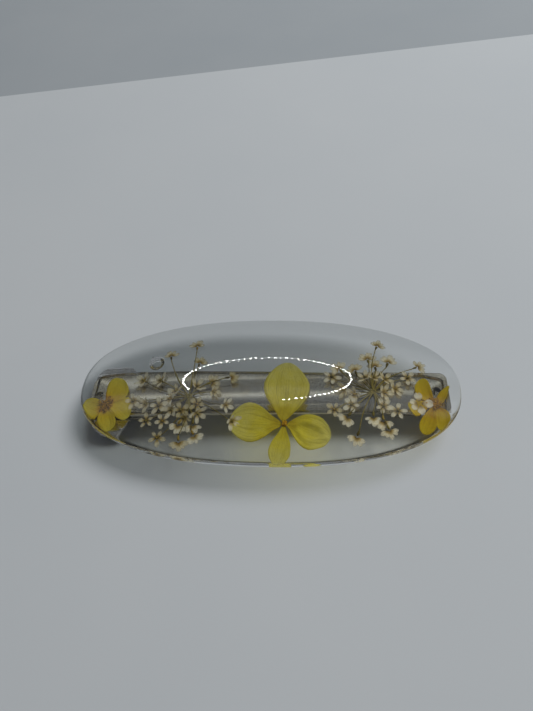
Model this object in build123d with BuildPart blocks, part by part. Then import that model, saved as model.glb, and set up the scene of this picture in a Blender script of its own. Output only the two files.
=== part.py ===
"""Hair barrette: a clear oval resin casting with pressed flowers, glued on a steel French clip.

Millimetres. X runs along the barrette from the latch (-X) to the hinge (+X), Y across it, Z up.
The origin is under the middle of the casting, on the surface that the closed clip lies on.
"""

import math
import os

from build123d import *

# ---- Casting ----
CAST_LENGTH = 85.0
CAST_WIDTH = 37.8
OUTLINE_POWER = 2.3  # 2 is an ellipse; more is fuller at the shoulders
OUTLINE_POINTS = 32
CAST_BACK_Z = 5.2
CAST_TOP_Z = 11.0
CROWN_ALONG = 240.0  # radius of the dome along X
CROWN_ACROSS = 50.0  # radius of the dome along Y
RIM_ROUND = 1.1
BACK_ROUND = 0.5
DOME_SWING = 14.0  # degrees of the dome's torus either side of the middle, past both ends
DOME_HALF = 22.0  # half width and depth of the profile that is swung, past the casting's sides
DOME_DEPTH = 40.0
POUR_Z = 6.6  # the second pour starts here, on top of the flowers

# ---- Pressed flowers, in three layers under the second pour ----
LEAF = 0.25  # thickness of a pressed petal
PETAL_TOP_Z = POUR_Z - 2 * LEAF
RAY_TOP_Z = POUR_Z - LEAF
FLORET_TOP_Z = POUR_Z
RAY_WIDTH = 0.32
HUB_RADIUS = 0.6
FLORET_RADIUS = 1.9
LOBE_RADIUS = 0.76
LOBES = 5

# Hydrangea: (name, bearing in degrees, length, width), measured from the eye.
HYDRANGEA_EYE = (5.0, -9.5)
HYDRANGEA_EYE_RADIUS = 0.75
HYDRANGEA_PETALS = [
    ("far", 90.0, 14.8, 10.0),
    ("left", 183.0, 11.7, 8.7),
    ("near", 264.0, 8.5, 4.6),
    ("right", 346.0, 10.0, 7.9),
]

# Small five-petalled blossoms: petals as (x, y, length, width, bearing of the long axis).
LEFT_BLOSSOM_HEART = (-35.5, -5.1)
LEFT_BLOSSOM_PETALS = [
    (-33.3, -1.3, 5.6, 4.8, 70.0),
    (-31.3, -6.3, 5.4, 4.4, 95.0),
    (-34.3, -9.2, 4.5, 4.2, -80.0),
    (-38.5, -6.1, 4.8, 3.2, -58.0),
]
RIGHT_BLOSSOM_HEART = (36.3, -4.1)
RIGHT_BLOSSOM_PETALS = [
    (34.2, -0.7, 4.8, 3.4, 108.0),
    (38.1, -1.5, 4.6, 1.5, 50.0),
    (37.7, -7.4, 4.2, 3.2, -70.0),
    (34.6, -8.9, 4.1, 3.3, -110.0),
    (32.6, -5.4, 3.8, 2.8, 190.0),
]
HEART_RADIUS = 1.8

# Lace flowers: (bearing in degrees, reach) of each floret from the umbel's hub.
LEFT_UMBEL_HUB = (-16.4, -3.3)
LEFT_UMBEL = [
    (119, 12.0), (90, 13.3), (81, 8.5), (160, 12.1), (151, 8.3), (56, 3.0), (158, 3.5),
    (-174, 12.6), (-168, 9.9), (-159, 6.9), (-171, 4.5), (-44, 3.0), (-136, 5.0),
    (-110, 3.7), (-93, 5.6), (-58, 5.2), (-145, 10.6), (-129, 7.9), (-101, 7.2), (-75, 7.3),
    (-76, 9.7), (-119, 11.5), (-94, 10.9), (-30, 12.0), (27, 10.0), (10, 5.8), (-14, 9.0),
    (34, 5.7),
]
RIGHT_UMBEL_HUB = (23.7, -1.6)
RIGHT_UMBEL = [
    (83, 12.1), (96, 8.2), (84, 6.3), (64, 8.2), (33, 11.8), (127, 6.3), (144, 8.9),
    (160, 9.4), (116, 3.9), (85, 3.6), (48, 4.3), (25, 8.3), (8, 5.0), (-7, 2.6),
    (179, 6.5), (-168, 4.3), (-151, 9.5), (-131, 8.4), (-144, 5.8), (-109, 11.3),
    (-72, 9.5), (-92, 6.2), (-76, 7.2), (-61, 4.1), (-43, 6.7),
]
LOOSE_FLORET = (33.3, -4.4)
LOOSE_FLORET_SCALE = 1.35

# ---- Clip: how it sits under the casting, a little askew ----
CLIP_TURN = 1.5  # degrees, seen from above
CLIP_SHIFT = -1.4  # along Y

# ---- Clip: base plate ----
STEEL = 0.6
PLATE_LENGTH = 79.8
PLATE_WIDTH = 9.6
PLATE_TOP_Z = 4.5
PLATE_BOTTOM_Z = PLATE_TOP_Z - STEEL
BEAD_WIDTH = 6.0
BEAD_RISE = 0.6
BEAD_START_X, BEAD_END_X = -29.5, 32.5
END_HOLE_RADIUS = 1.0
END_HOLE_INSET = 2.2
END_LIP_DROP = 1.6

# ---- Clip: hinge ----
PIN_X, PIN_Z = 36.3, 2.5
PIN_RADIUS = 0.55
PIN_HEAD_RADIUS, PIN_HEAD = 0.95, 0.35
RUNNING_GAP = 0.05
KNUCKLE_RADIUS = 1.2
EAR_RADIUS = 1.5
EAR_TOP_LENGTH = 5.2
MID_KNUCKLE = 1.2  # half width of the tension bar's knuckle
ARM_KNUCKLE_IN, ARM_KNUCKLE_OUT = 1.35, 3.4

# ---- Clip: clasp arm ----
ARM_STEEL = 0.6
ARM_ROOT_LENGTH = 2.4  # straight stretch from the pin, before the arm slopes down
ARM_FLAT_START_X, ARM_FLAT_END_X = -25.5, 30.0
ARM_LATCH_Z = 1.4  # middle of the steel at the window, above the flat
ARM_STEP_LENGTH = 2.6
ARM_TIP_X = -40.0
ARM_TIP_DROP = 0.7
ARM_BEND_RADIUS = 1.2
ARM_WAIST_HALF = 1.9
ARM_WAIST_START_X, ARM_WAIST_END_X = -23.5, 24.0
ARM_LATCH_HALF = 3.6
ARM_SHOULDER_X = -29.0
ARM_TIP_HALF = 2.0
ARM_TIP_TAPER = 1.8
ARM_END_SPARE = 3.0  # the cut outline runs this far past the pin
WINDOW_X = -34.0
WINDOW_LENGTH, WINDOW_WIDTH = 6.4, 4.7
WINDOW_CORNER = 0.6

# ---- Clip: tension bar ----
SPRING_STEEL = 0.4
TENSION_WIDTH = 5.0
TENSION_TIP_X = -27.8
TENSION_TIP_HALF = 1.1
TENSION_TAPER = 3.4
TENSION_SHOULDER = 5.0  # from the pin to where the bar is full width
TENSION_NECK = 2.6
TENSION_CORNER = 0.7
TENSION_ROOT = (0.9, 0.75)  # how far before and above the pin the bar starts
TENSION_CROWN = [(32.1, 3.0), (26.0, 3.2), (16.0, 3.4), (0.0, 3.1), (-16.0, 3.3)]
TENSION_TIP_Z = 3.45

# ---- Clip: pinch latch ----
LATCH_X = -34.8
LATCH_LENGTH = 9.0
LATCH_BASE_HALF = 2.6
LATCH_STEEL = 0.5
LATCH_BASE_Z = PLATE_BOTTOM_Z - LATCH_STEEL
PRONG_Y = 1.85  # middle of each prong's wall
PRONG_BEND_Z = LATCH_BASE_Z - 0.5
PRONG_BEND_RADIUS = 0.4
PRONG_LENGTH = 5.6
HOOK_BOTTOM_Z, HOOK_TOP_Z = 0.2, 0.9
HOOK_REACH = 0.6
TAB_RADIUS = 5.2
TAB_CENTRE_Y = 3.7
TAB_BEND_RADIUS = 0.5
TAB_PROFILE = [  # across the clip and down from the plate's underside
    (4.7, 1.2),
    (5.6, 0.2),
    (7.5, 0.35),
    (8.6, 1.6),
]
LATCH_CORNER = 1.0
RIVET_RADIUS = 0.9
RIVET_HEAD_RADIUS, RIVET_HEAD = 1.25, 0.3

# ---- Glue: its edge lies this far inside the plate's ----
GLUE_MARGIN = 0.8
GLUE_CORNER = 1.4

os.makedirs("parts", exist_ok=True)


def save(part, name):
    """Labels a finished piece and writes it as one STEP file."""
    part.label = name
    export_step(part, f"parts/{name}.step")


def save_clip(part, name):
    """Writes a piece of the clip, turned and shifted to where the clip is glued."""
    place = Location((0, CLIP_SHIFT, 0), (0, 0, CLIP_TURN))
    save(part.moved(place), name)


def oval(length, width):
    """Closed superellipse outline, as points round the oval for a periodic spline."""
    points = []
    for i in range(OUTLINE_POINTS):
        turn = 2 * math.pi * i / OUTLINE_POINTS
        c, s = math.cos(turn), math.sin(turn)
        x = length / 2 * math.copysign(abs(c) ** (2 / OUTLINE_POWER), c)
        y = width / 2 * math.copysign(abs(s) ** (2 / OUTLINE_POWER), s)
        points.append((x, y))
    return points


def polar(centre, bearing, reach):
    """The point that lies reach from centre, at bearing degrees from +X."""
    turn = math.radians(bearing)
    return (centre[0] + reach * math.cos(turn), centre[1] + reach * math.sin(turn))


# ======== Pressed flowers ========

hydrangea = {}
for petal_name, bearing, length, width in HYDRANGEA_PETALS:
    # An obovate petal: narrow claw at the eye, widest at two thirds of its length.
    claw_start = HYDRANGEA_EYE_RADIUS + 0.1
    eye_plane = Plane(
        origin=(*HYDRANGEA_EYE, PETAL_TOP_Z),
        x_dir=(math.cos(math.radians(bearing)), math.sin(math.radians(bearing)), 0),
        z_dir=(0, 0, 1),
    )
    with BuildPart() as petal:
        with BuildSketch(eye_plane):
            with BuildLine():
                Spline(
                    (claw_start, -0.35),
                    (length * 0.34, -width * 0.30),
                    (length * 0.66, -width * 0.50),
                    (length, 0),
                    (length * 0.66, width * 0.50),
                    (length * 0.34, width * 0.30),
                    (claw_start, 0.35),
                )
                Line((claw_start, 0.35), (claw_start, -0.35))
            make_face()
        extrude(amount=-LEAF)
    hydrangea[petal_name] = petal.part
    save(petal.part, f"hydrangea_petal_{petal_name}")

with BuildPart() as hydrangea_eye:
    with BuildSketch(Plane.XY.offset(PETAL_TOP_Z)):
        with Locations(HYDRANGEA_EYE):
            Circle(HYDRANGEA_EYE_RADIUS)
    extrude(amount=-LEAF)
save(hydrangea_eye.part, "hydrangea_eye")


def blossom_petals(petals):
    """All petals of one small blossom, in one layer and joined where they lap."""
    with BuildPart() as blossom:
        with BuildSketch(Plane.XY.offset(PETAL_TOP_Z)):
            for x, y, petal_length, petal_width, petal_bearing in petals:
                with Locations(Location((x, y, 0), (0, 0, petal_bearing))):
                    Ellipse(petal_length / 2, petal_width / 2)
        extrude(amount=-LEAF)
    return blossom.part


def blossom_heart(centre):
    """The pressed stamens, on top of the petals."""
    with BuildPart() as heart:
        with BuildSketch(Plane.XY.offset(RAY_TOP_Z)):
            with Locations(centre):
                Circle(HEART_RADIUS)
        extrude(amount=-LEAF)
    return heart.part


left_blossom_petals = blossom_petals(LEFT_BLOSSOM_PETALS)
save(left_blossom_petals, "left_blossom_petals")
left_blossom_heart = blossom_heart(LEFT_BLOSSOM_HEART)
save(left_blossom_heart, "left_blossom_heart")
right_blossom_petals = blossom_petals(RIGHT_BLOSSOM_PETALS)
save(right_blossom_petals, "right_blossom_petals")
right_blossom_heart = blossom_heart(RIGHT_BLOSSOM_HEART)
save(right_blossom_heart, "right_blossom_heart")


def umbel_rays(hub, florets):
    """The hub of a lace flower with one thin stalk out to each floret."""
    with BuildPart() as rays:
        with BuildSketch(Plane.XY.offset(RAY_TOP_Z)):
            with Locations(hub):
                Circle(HUB_RADIUS)
            for ray_bearing, reach in florets:
                middle = polar(hub, ray_bearing, reach / 2)
                with Locations(Location((*middle, 0), (0, 0, ray_bearing))):
                    Rectangle(reach, RAY_WIDTH)
        extrude(amount=-LEAF)
    return rays.part


def lace_florets(centres, scale=1.0):
    """Tiny five-lobed florets at these points, in one layer."""
    lobe = LOBE_RADIUS * scale
    lobe_reach = (FLORET_RADIUS - LOBE_RADIUS) * scale
    with BuildPart() as florets:
        with BuildSketch(Plane.XY.offset(FLORET_TOP_Z)):
            for centre in centres:
                with Locations(centre):
                    Circle(lobe)
                    with PolarLocations(lobe_reach, LOBES, start_angle=90):
                        Circle(lobe)
        extrude(amount=-LEAF)
    return florets.part


left_umbel_rays = umbel_rays(LEFT_UMBEL_HUB, LEFT_UMBEL)
save(left_umbel_rays, "left_umbel_rays")
left_umbel_florets = lace_florets([polar(LEFT_UMBEL_HUB, *f) for f in LEFT_UMBEL])
save(left_umbel_florets, "left_umbel_florets")
right_umbel_rays = umbel_rays(RIGHT_UMBEL_HUB, RIGHT_UMBEL)
save(right_umbel_rays, "right_umbel_rays")
right_umbel_florets = lace_florets([polar(RIGHT_UMBEL_HUB, *f) for f in RIGHT_UMBEL])
save(right_umbel_florets, "right_umbel_florets")
loose_floret = lace_florets([LOOSE_FLORET], LOOSE_FLORET_SCALE)
save(loose_floret, "loose_floret")

flowers = [
    *hydrangea.values(),
    hydrangea_eye.part,
    left_blossom_petals,
    left_blossom_heart,
    right_blossom_petals,
    right_blossom_heart,
    left_umbel_rays,
    left_umbel_florets,
    right_umbel_rays,
    right_umbel_florets,
    loose_floret,
]

# ======== Casting ========

# The dome is part of a torus: an arc across the casting, swung about a line far below it.
swing_turn = math.radians(DOME_SWING)
dome_start = Plane(
    origin=(
        -CROWN_ALONG * math.sin(swing_turn),
        0,
        CAST_TOP_Z - CROWN_ALONG + CROWN_ALONG * math.cos(swing_turn),
    ),
    x_dir=(0, 1, 0),
    z_dir=(math.cos(swing_turn), 0, math.sin(swing_turn)),
)
dome_edge_drop = CROWN_ACROSS - math.sqrt(CROWN_ACROSS**2 - DOME_HALF**2)
with BuildPart() as casting:
    with BuildSketch(dome_start):
        with BuildLine():
            ThreePointArc((-DOME_HALF, -dome_edge_drop), (0, 0), (DOME_HALF, -dome_edge_drop))
            Polyline(
                (DOME_HALF, -dome_edge_drop),
                (DOME_HALF, -DOME_DEPTH),
                (-DOME_HALF, -DOME_DEPTH),
                (-DOME_HALF, -dome_edge_drop),
            )
        make_face()
    revolve(
        axis=Axis((0, 0, CAST_TOP_Z - CROWN_ALONG), (0, 1, 0)),
        revolution_arc=2 * DOME_SWING,
    )
    with BuildSketch(Plane.XY.offset(CAST_BACK_Z)):
        with BuildLine():
            Spline(*oval(CAST_LENGTH, CAST_WIDTH), periodic=True)
        make_face()
    extrude(amount=CAST_TOP_Z - CAST_BACK_Z + 1, mode=Mode.INTERSECT)
    rim = casting.faces().sort_by(Axis.Z)[-1].edges()
    fillet(rim, radius=RIM_ROUND)
    back_edge = casting.faces().sort_by(Axis.Z)[0].edges()
    fillet(back_edge, radius=BACK_ROUND)

with BuildPart() as casting_dome:
    add(casting.part)
    split(bisect_by=Plane.XY.offset(POUR_Z), keep=Keep.TOP)
save(casting_dome.part, "casting_dome")

with BuildPart() as casting_back:
    add(casting.part)
    split(bisect_by=Plane.XY.offset(POUR_Z), keep=Keep.BOTTOM)
    for flower in flowers:
        add(flower, mode=Mode.SUBTRACT)
# Where florets crowd together they close off specks of resin, which are left out.
casting_back_body = casting_back.part.solids().sort_by(SortBy.VOLUME)[-1]
save(casting_back_body, "casting_back")

# ======== Base plate ========

ear_outer = PLATE_WIDTH / 2


def bead(z):
    """A long rounded ridge on the plane at height z, with rounded ends in plan."""
    length = BEAD_END_X - BEAD_START_X
    with BuildPart() as ridge:
        with BuildSketch(Plane.YZ.offset(BEAD_START_X)):
            with BuildLine():
                ThreePointArc(
                    (-BEAD_WIDTH / 2, z),
                    (0, z + BEAD_RISE),
                    (BEAD_WIDTH / 2, z),
                )
                Line((BEAD_WIDTH / 2, z), (-BEAD_WIDTH / 2, z))
            make_face()
        extrude(amount=length)
        with BuildSketch(Plane.XY.offset(z)):
            with Locations(((BEAD_START_X + BEAD_END_X) / 2, 0)):
                SlotOverall(length, BEAD_WIDTH)
        extrude(amount=BEAD_RISE * 2, mode=Mode.INTERSECT)
    return ridge.part


bead_outside = bead(PLATE_TOP_Z)
bead_inside = bead(PLATE_BOTTOM_Z)

with BuildPart() as base_plate:
    with BuildSketch(Plane.XY.offset(PLATE_BOTTOM_Z)):
        RectangleRounded(PLATE_LENGTH, PLATE_WIDTH, 1.6)
    extrude(amount=STEEL)
    # A stiffening bead, pressed up along the middle.
    add(bead_outside)
    add(bead_inside, mode=Mode.SUBTRACT)
    # The end lip, folded down past the hinge.
    with BuildSketch(Plane.YZ.offset(PLATE_LENGTH / 2 - STEEL)):
        with Locations((0, PLATE_BOTTOM_Z - END_LIP_DROP / 2)):
            Rectangle(PLATE_WIDTH - 3.2, END_LIP_DROP)
    extrude(amount=STEEL)
    # Two ears folded down from the sides carry the hinge pin.
    for side in (-1, 1):
        with BuildSketch(Plane.XZ.offset(side * (ear_outer - STEEL / 2))):
            with Locations((PIN_X, PIN_Z)):
                Circle(EAR_RADIUS)
            with Locations((PIN_X - 0.4, PLATE_BOTTOM_Z)):
                Rectangle(EAR_TOP_LENGTH, STEEL)
            make_hull()
        extrude(amount=STEEL / 2, both=True)
    with Locations(Plane.XZ):
        with Locations((PIN_X, PIN_Z)):
            Cylinder(PIN_RADIUS, PLATE_WIDTH * 2, mode=Mode.SUBTRACT)
    # Holes at both ends, and one for the latch rivet.
    with Locations(Plane.XY.offset(PLATE_TOP_Z)):
        with Locations(
            (PLATE_LENGTH / 2 - END_HOLE_INSET - STEEL, 0),
            (END_HOLE_INSET - PLATE_LENGTH / 2, 0),
        ):
            Hole(END_HOLE_RADIUS, depth=STEEL)
        with Locations((LATCH_X, 0)):
            Hole(RIVET_RADIUS, depth=STEEL)
save_clip(base_plate.part, "base_plate")

with BuildPart() as hinge_pin:
    with BuildSketch(Plane.XZ):
        with Locations((PIN_X, PIN_Z)):
            Circle(PIN_RADIUS)
    extrude(amount=ear_outer, both=True)
    for side in (-1, 1):
        with BuildSketch(Plane.XZ.offset(side * (ear_outer + PIN_HEAD / 2))):
            with Locations((PIN_X, PIN_Z)):
                Circle(PIN_HEAD_RADIUS)
        extrude(amount=PIN_HEAD / 2, both=True)
    heads = hinge_pin.edges().filter_by(GeomType.CIRCLE)
    fillet(heads.sort_by(Axis.Y)[0], radius=0.2)
    fillet(hinge_pin.edges().filter_by(GeomType.CIRCLE).sort_by(Axis.Y)[-1], radius=0.2)
save_clip(hinge_pin.part, "hinge_pin")

# ======== Pinch latch ========

with BuildPart() as latch_base:
    with BuildSketch(Plane.XY.offset(LATCH_BASE_Z)):
        with Locations((LATCH_X, 0)):
            RectangleRounded(LATCH_LENGTH, 2 * LATCH_BASE_HALF, LATCH_CORNER)
            Circle(RIVET_RADIUS, mode=Mode.SUBTRACT)
    extrude(amount=LATCH_STEEL)
save_clip(latch_base.part, "latch_base")

with BuildPart() as latch_rivet:
    with BuildSketch(Plane.XY.offset(LATCH_BASE_Z)):
        with Locations((LATCH_X, 0)):
            Circle(RIVET_RADIUS)
    extrude(amount=PLATE_TOP_Z - LATCH_BASE_Z)
    with BuildSketch(Plane.XY.offset(LATCH_BASE_Z), Plane.XY.offset(PLATE_TOP_Z + RIVET_HEAD)):
        with Locations((LATCH_X, 0)):
            Circle(RIVET_HEAD_RADIUS)
    extrude(amount=-RIVET_HEAD)
    fillet(latch_rivet.edges().group_by(Axis.Z)[0], radius=0.15)
    fillet(latch_rivet.edges().group_by(Axis.Z)[-1], radius=0.15)
save_clip(latch_rivet.part, "latch_rivet")


def latch_prong(side):
    """One spring prong: a bent root, a hooked wall through the window, and a finger tab."""
    bend_y = side * PRONG_Y
    with BuildPart() as prong:
        # The finger tab, swept out sideways and trimmed to a round ear.
        with BuildSketch(Plane.YZ.offset(LATCH_X)):
            with BuildLine():
                FilletPolyline(
                    (bend_y, PRONG_BEND_Z - 0.1),
                    *[(side * y, PLATE_BOTTOM_Z - down) for y, down in TAB_PROFILE],
                    radius=TAB_BEND_RADIUS,
                )
            trace(line_width=LATCH_STEEL)
        extrude(amount=TAB_RADIUS, both=True)
        with BuildSketch(Plane.XY):
            with Locations((LATCH_X, side * TAB_CENTRE_Y)):
                Circle(TAB_RADIUS)
        extrude(amount=PLATE_BOTTOM_Z, mode=Mode.INTERSECT)
        # The wall, from the bend down through the arm's window.
        with BuildSketch(Plane.YZ.offset(WINDOW_X)):
            with Locations((bend_y, (PRONG_BEND_Z + HOOK_BOTTOM_Z) / 2)):
                Rectangle(LATCH_STEEL, PRONG_BEND_Z - HOOK_BOTTOM_Z)
            with Locations((bend_y, PRONG_BEND_Z)):
                Circle(PRONG_BEND_RADIUS)
            # The hook slopes, so that the closing arm pushes it aside.
            with BuildLine():
                Polyline(
                    (bend_y, HOOK_TOP_Z),
                    (side * (PRONG_Y + LATCH_STEEL / 2 + HOOK_REACH), HOOK_TOP_Z),
                    (side * (PRONG_Y + LATCH_STEEL / 2), HOOK_BOTTOM_Z),
                    (bend_y, HOOK_BOTTOM_Z),
                    close=True,
                )
            make_face()
        extrude(amount=PRONG_LENGTH / 2, both=True)
    return prong.part


for side_name, side in (("front", -1), ("back", 1)):
    save_clip(latch_prong(side), f"latch_prong_{side_name}")

# ======== Clasp arm ========

arm_root_z = PIN_Z - KNUCKLE_RADIUS + ARM_STEEL / 2
arm_half_outline = [
    (PIN_X + ARM_END_SPARE, ARM_KNUCKLE_OUT),
    (ARM_WAIST_END_X, ARM_WAIST_HALF),
    (ARM_WAIST_START_X, ARM_WAIST_HALF),
    (ARM_SHOULDER_X, ARM_LATCH_HALF),
    (ARM_TIP_X + ARM_TIP_TAPER, ARM_LATCH_HALF),
    (ARM_TIP_X, ARM_TIP_HALF),
]
with BuildPart() as clasp_arm:
    with BuildSketch(Plane.XZ):
        with BuildLine():
            FilletPolyline(
                (PIN_X, arm_root_z),
                (PIN_X - ARM_ROOT_LENGTH, arm_root_z),
                (ARM_FLAT_END_X, ARM_STEEL / 2),
                (ARM_FLAT_START_X, ARM_STEEL / 2),
                (ARM_FLAT_START_X - ARM_STEP_LENGTH, ARM_LATCH_Z),
                (ARM_TIP_X + ARM_TIP_TAPER, ARM_LATCH_Z),
                (ARM_TIP_X, ARM_LATCH_Z - ARM_TIP_DROP),
                radius=ARM_BEND_RADIUS,
            )
        trace(line_width=ARM_STEEL)
    extrude(amount=PLATE_WIDTH / 2, both=True)
    # Plan outline: wide at the hinge, waisted along the arm, wide again at the window.
    with BuildSketch(Plane.XY):
        with BuildLine():
            FilletPolyline(
                *arm_half_outline,
                *[(x, -y) for x, y in reversed(arm_half_outline)],
                radius=ARM_BEND_RADIUS,
            )
            Line(arm_half_outline[0], (PIN_X + ARM_END_SPARE, -ARM_KNUCKLE_OUT))
        make_face()
    extrude(amount=PLATE_BOTTOM_Z, mode=Mode.INTERSECT)
    with BuildSketch(Plane.XY):
        with Locations((WINDOW_X, 0)):
            RectangleRounded(WINDOW_LENGTH, WINDOW_WIDTH, WINDOW_CORNER)
    extrude(amount=PLATE_BOTTOM_Z, mode=Mode.SUBTRACT)
    # The eyes rolled round the pin, either side of the tension bar's.
    with BuildSketch(Plane.XZ):
        with Locations((PIN_X, PIN_Z)):
            Circle(KNUCKLE_RADIUS)
    extrude(amount=ARM_KNUCKLE_OUT, both=True)
    with BuildSketch(Plane.XY):
        with Locations((PIN_X, 0)):
            Rectangle(2 * KNUCKLE_RADIUS + 1.6, 2 * ARM_KNUCKLE_IN)
    extrude(amount=PLATE_BOTTOM_Z, mode=Mode.SUBTRACT)
    with BuildSketch(Plane.XZ):
        with Locations((PIN_X, PIN_Z)):
            Circle(PIN_RADIUS + RUNNING_GAP)
    extrude(amount=PLATE_WIDTH, both=True, mode=Mode.SUBTRACT)
save_clip(clasp_arm.part, "clasp_arm")

# ======== Tension bar ========

bar_half_outline = [
    (PIN_X + 1, MID_KNUCKLE),
    (PIN_X - TENSION_NECK, MID_KNUCKLE),
    (PIN_X - TENSION_SHOULDER, TENSION_WIDTH / 2),
    (TENSION_TIP_X + TENSION_TAPER, TENSION_WIDTH / 2),
    (TENSION_TIP_X, TENSION_TIP_HALF),
]
with BuildPart() as tension_bar:
    with BuildSketch(Plane.XZ):
        with BuildLine():
            Spline(
                (PIN_X - TENSION_ROOT[0], PIN_Z + TENSION_ROOT[1]),
                *TENSION_CROWN,
                (TENSION_TIP_X - SPRING_STEEL, TENSION_TIP_Z),
            )
        trace(line_width=SPRING_STEEL)
    extrude(amount=TENSION_WIDTH, both=True)
    with BuildSketch(Plane.XY):
        with BuildLine():
            FilletPolyline(
                *bar_half_outline,
                *[(x, -y) for x, y in reversed(bar_half_outline)],
                radius=TENSION_CORNER,
            )
            Line(bar_half_outline[0], (PIN_X + 1, -MID_KNUCKLE))
        make_face()
    extrude(amount=CAST_BACK_Z, mode=Mode.INTERSECT)
    with BuildSketch(Plane.XZ):
        with Locations((PIN_X, PIN_Z)):
            Circle(KNUCKLE_RADIUS)
    extrude(amount=MID_KNUCKLE, both=True)
    with BuildSketch(Plane.XZ):
        with Locations((PIN_X, PIN_Z)):
            Circle(PIN_RADIUS + RUNNING_GAP)
    extrude(amount=TENSION_WIDTH, both=True, mode=Mode.SUBTRACT)
save_clip(tension_bar.part, "tension_bar")

# ======== Adhesive ========

# Clear glue fills the gap between the plate's top and the casting's back.
with BuildPart() as adhesive_bed:
    with BuildSketch(Plane.XY.offset(PLATE_TOP_Z)):
        RectangleRounded(PLATE_LENGTH - 2 * GLUE_MARGIN, PLATE_WIDTH - 2 * GLUE_MARGIN, GLUE_CORNER)
    extrude(amount=CAST_BACK_Z - PLATE_TOP_Z)
    add(base_plate.part, mode=Mode.SUBTRACT)
    add(latch_rivet.part, mode=Mode.SUBTRACT)
save_clip(adhesive_bed.part, "adhesive_bed")
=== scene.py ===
"""Looks of the pressed-flower hair barrette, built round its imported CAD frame.

Lengths below are millimetres unless a name says otherwise; Shape.piece turns them into metres.
X runs along the barrette from the latch (-X) to the hinge (+X), Y across it and Z up.
"""

import math
import random

import bmesh
import bpy
import numpy as np
from mathutils import Matrix, Vector, noise


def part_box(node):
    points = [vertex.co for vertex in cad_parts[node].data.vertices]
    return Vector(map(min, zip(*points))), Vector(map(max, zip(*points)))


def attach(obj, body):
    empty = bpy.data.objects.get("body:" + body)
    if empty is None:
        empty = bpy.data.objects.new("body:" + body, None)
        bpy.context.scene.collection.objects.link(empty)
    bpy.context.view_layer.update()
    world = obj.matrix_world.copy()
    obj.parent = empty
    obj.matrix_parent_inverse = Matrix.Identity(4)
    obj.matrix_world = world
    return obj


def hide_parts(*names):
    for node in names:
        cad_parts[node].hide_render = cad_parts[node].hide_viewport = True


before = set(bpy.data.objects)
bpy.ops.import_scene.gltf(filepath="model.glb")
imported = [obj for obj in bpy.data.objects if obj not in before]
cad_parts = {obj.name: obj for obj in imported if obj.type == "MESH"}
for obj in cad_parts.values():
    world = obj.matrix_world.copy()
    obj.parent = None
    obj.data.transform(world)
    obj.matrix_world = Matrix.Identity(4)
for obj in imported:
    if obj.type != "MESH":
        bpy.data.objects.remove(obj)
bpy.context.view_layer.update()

MM = 0.001
BASE = "barrette_base"
FULL_TURN = 2 * math.pi

# ---- Resin casting: the numbers that shape the dome, as in the CAD part ----
OUTLINE_POWER = 2.3  # 2 is an ellipse; more is fuller at the shoulders
CROWN_ALONG = 240.0  # radius of the dome's arc along X
CROWN_ACROSS = 50.0  # and across Y
RIM_ROUND = 1.1
BACK_ROUND = 0.5
OUTLINE_STEPS = 240
CROWN_RINGS = 34
RIM_STEPS = 10
BACK_STEPS = 4
BUBBLE_SQUASH = 0.85  # a bubble's height over its width
BUBBLES = [  # place of the middle, and radius
    (-25.2, 5.0, 7.3, 1.85),
    (-26.6, 6.9, 6.9, 0.22),
    (12.3, -0.7, 6.9, 0.16),
    (28.8, 6.8, 6.9, 0.14),
]

# ---- Glue bed between the clip and the casting ----
GLUE_LAP = 0.15  # how far the glue reaches up into the casting, so that light passes straight through
GLUE_WAVER = 0.5  # how far its edge wanders inwards
GLUE_STEPS = 260
GLUE_SQUARE = 0.18  # power of its outline: 1 is an ellipse and 0 a rectangle

# ---- Pressed flowers ----
FAR_PETAL = [
    (4.6, -8.8), (2.6, -6.1), (0.7, -3.1), (0.1, -0.5), (1.1, 2.3), (3.0, 4.6), (5.0, 5.4),
    (7.0, 4.5), (9.0, 2.0), (10.1, -0.5), (9.5, -3.4), (7.4, -6.5),
]
LEFT_PETAL = [
    (4.4, -9.5), (2.0, -7.5), (-0.1, -5.7), (-2.5, -4.8), (-4.9, -5.7), (-6.5, -7.8), (-6.7, -10.2),
    (-5.4, -12.2), (-3.4, -13.6), (-1.3, -13.9), (0.9, -12.7), (2.6, -11.2),
]
RIGHT_PETAL = [
    (5.5, -9.6), (7.8, -8.0), (10.1, -7.4), (12.5, -8.0), (14.2, -9.8), (14.7, -12.0),
    (13.7, -14.0), (12.0, -15.0), (10.2, -15.4), (8.5, -14.5), (7.2, -12.8), (6.2, -10.9),
]
NEAR_PETAL = [
    (4.9, -9.6), (3.7, -11.7), (2.5, -13.6), (1.9, -15.6), (2.3, -17.4), (3.3, -18.1), (4.4, -18.2),
    (5.5, -17.8), (6.3, -16.9), (6.5, -15.2), (6.3, -13.4), (5.6, -11.3),
]
LEFT_BLOSSOM = [
    [
        (-35.3, -4.5), (-36.0, -0.7), (-35.4, 1.1), (-34.0, 1.6), (-32.2, 0.9), (-30.9, -1.0),
        (-30.6, -2.7), (-31.9, -4.4),
    ],
    [
        (-35.0, -5.3), (-33.5, -7.0), (-32.3, -8.4), (-30.4, -9.1), (-29.2, -8.0), (-29.1, -5.8),
        (-30.0, -3.7), (-32.3, -4.0),
    ],
    [
        (-35.6, -5.6), (-36.5, -7.5), (-36.5, -9.3), (-35.5, -10.7), (-33.8, -11.7), (-32.4, -10.9),
        (-32.1, -9.3), (-33.5, -6.9),
    ],
    [
        (-36.0, -5.3), (-37.6, -3.9), (-39.9, -3.7), (-40.8, -5.0), (-39.8, -6.9), (-38.3, -8.6),
        (-37.2, -9.1), (-36.4, -7.3),
    ],
]
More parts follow.
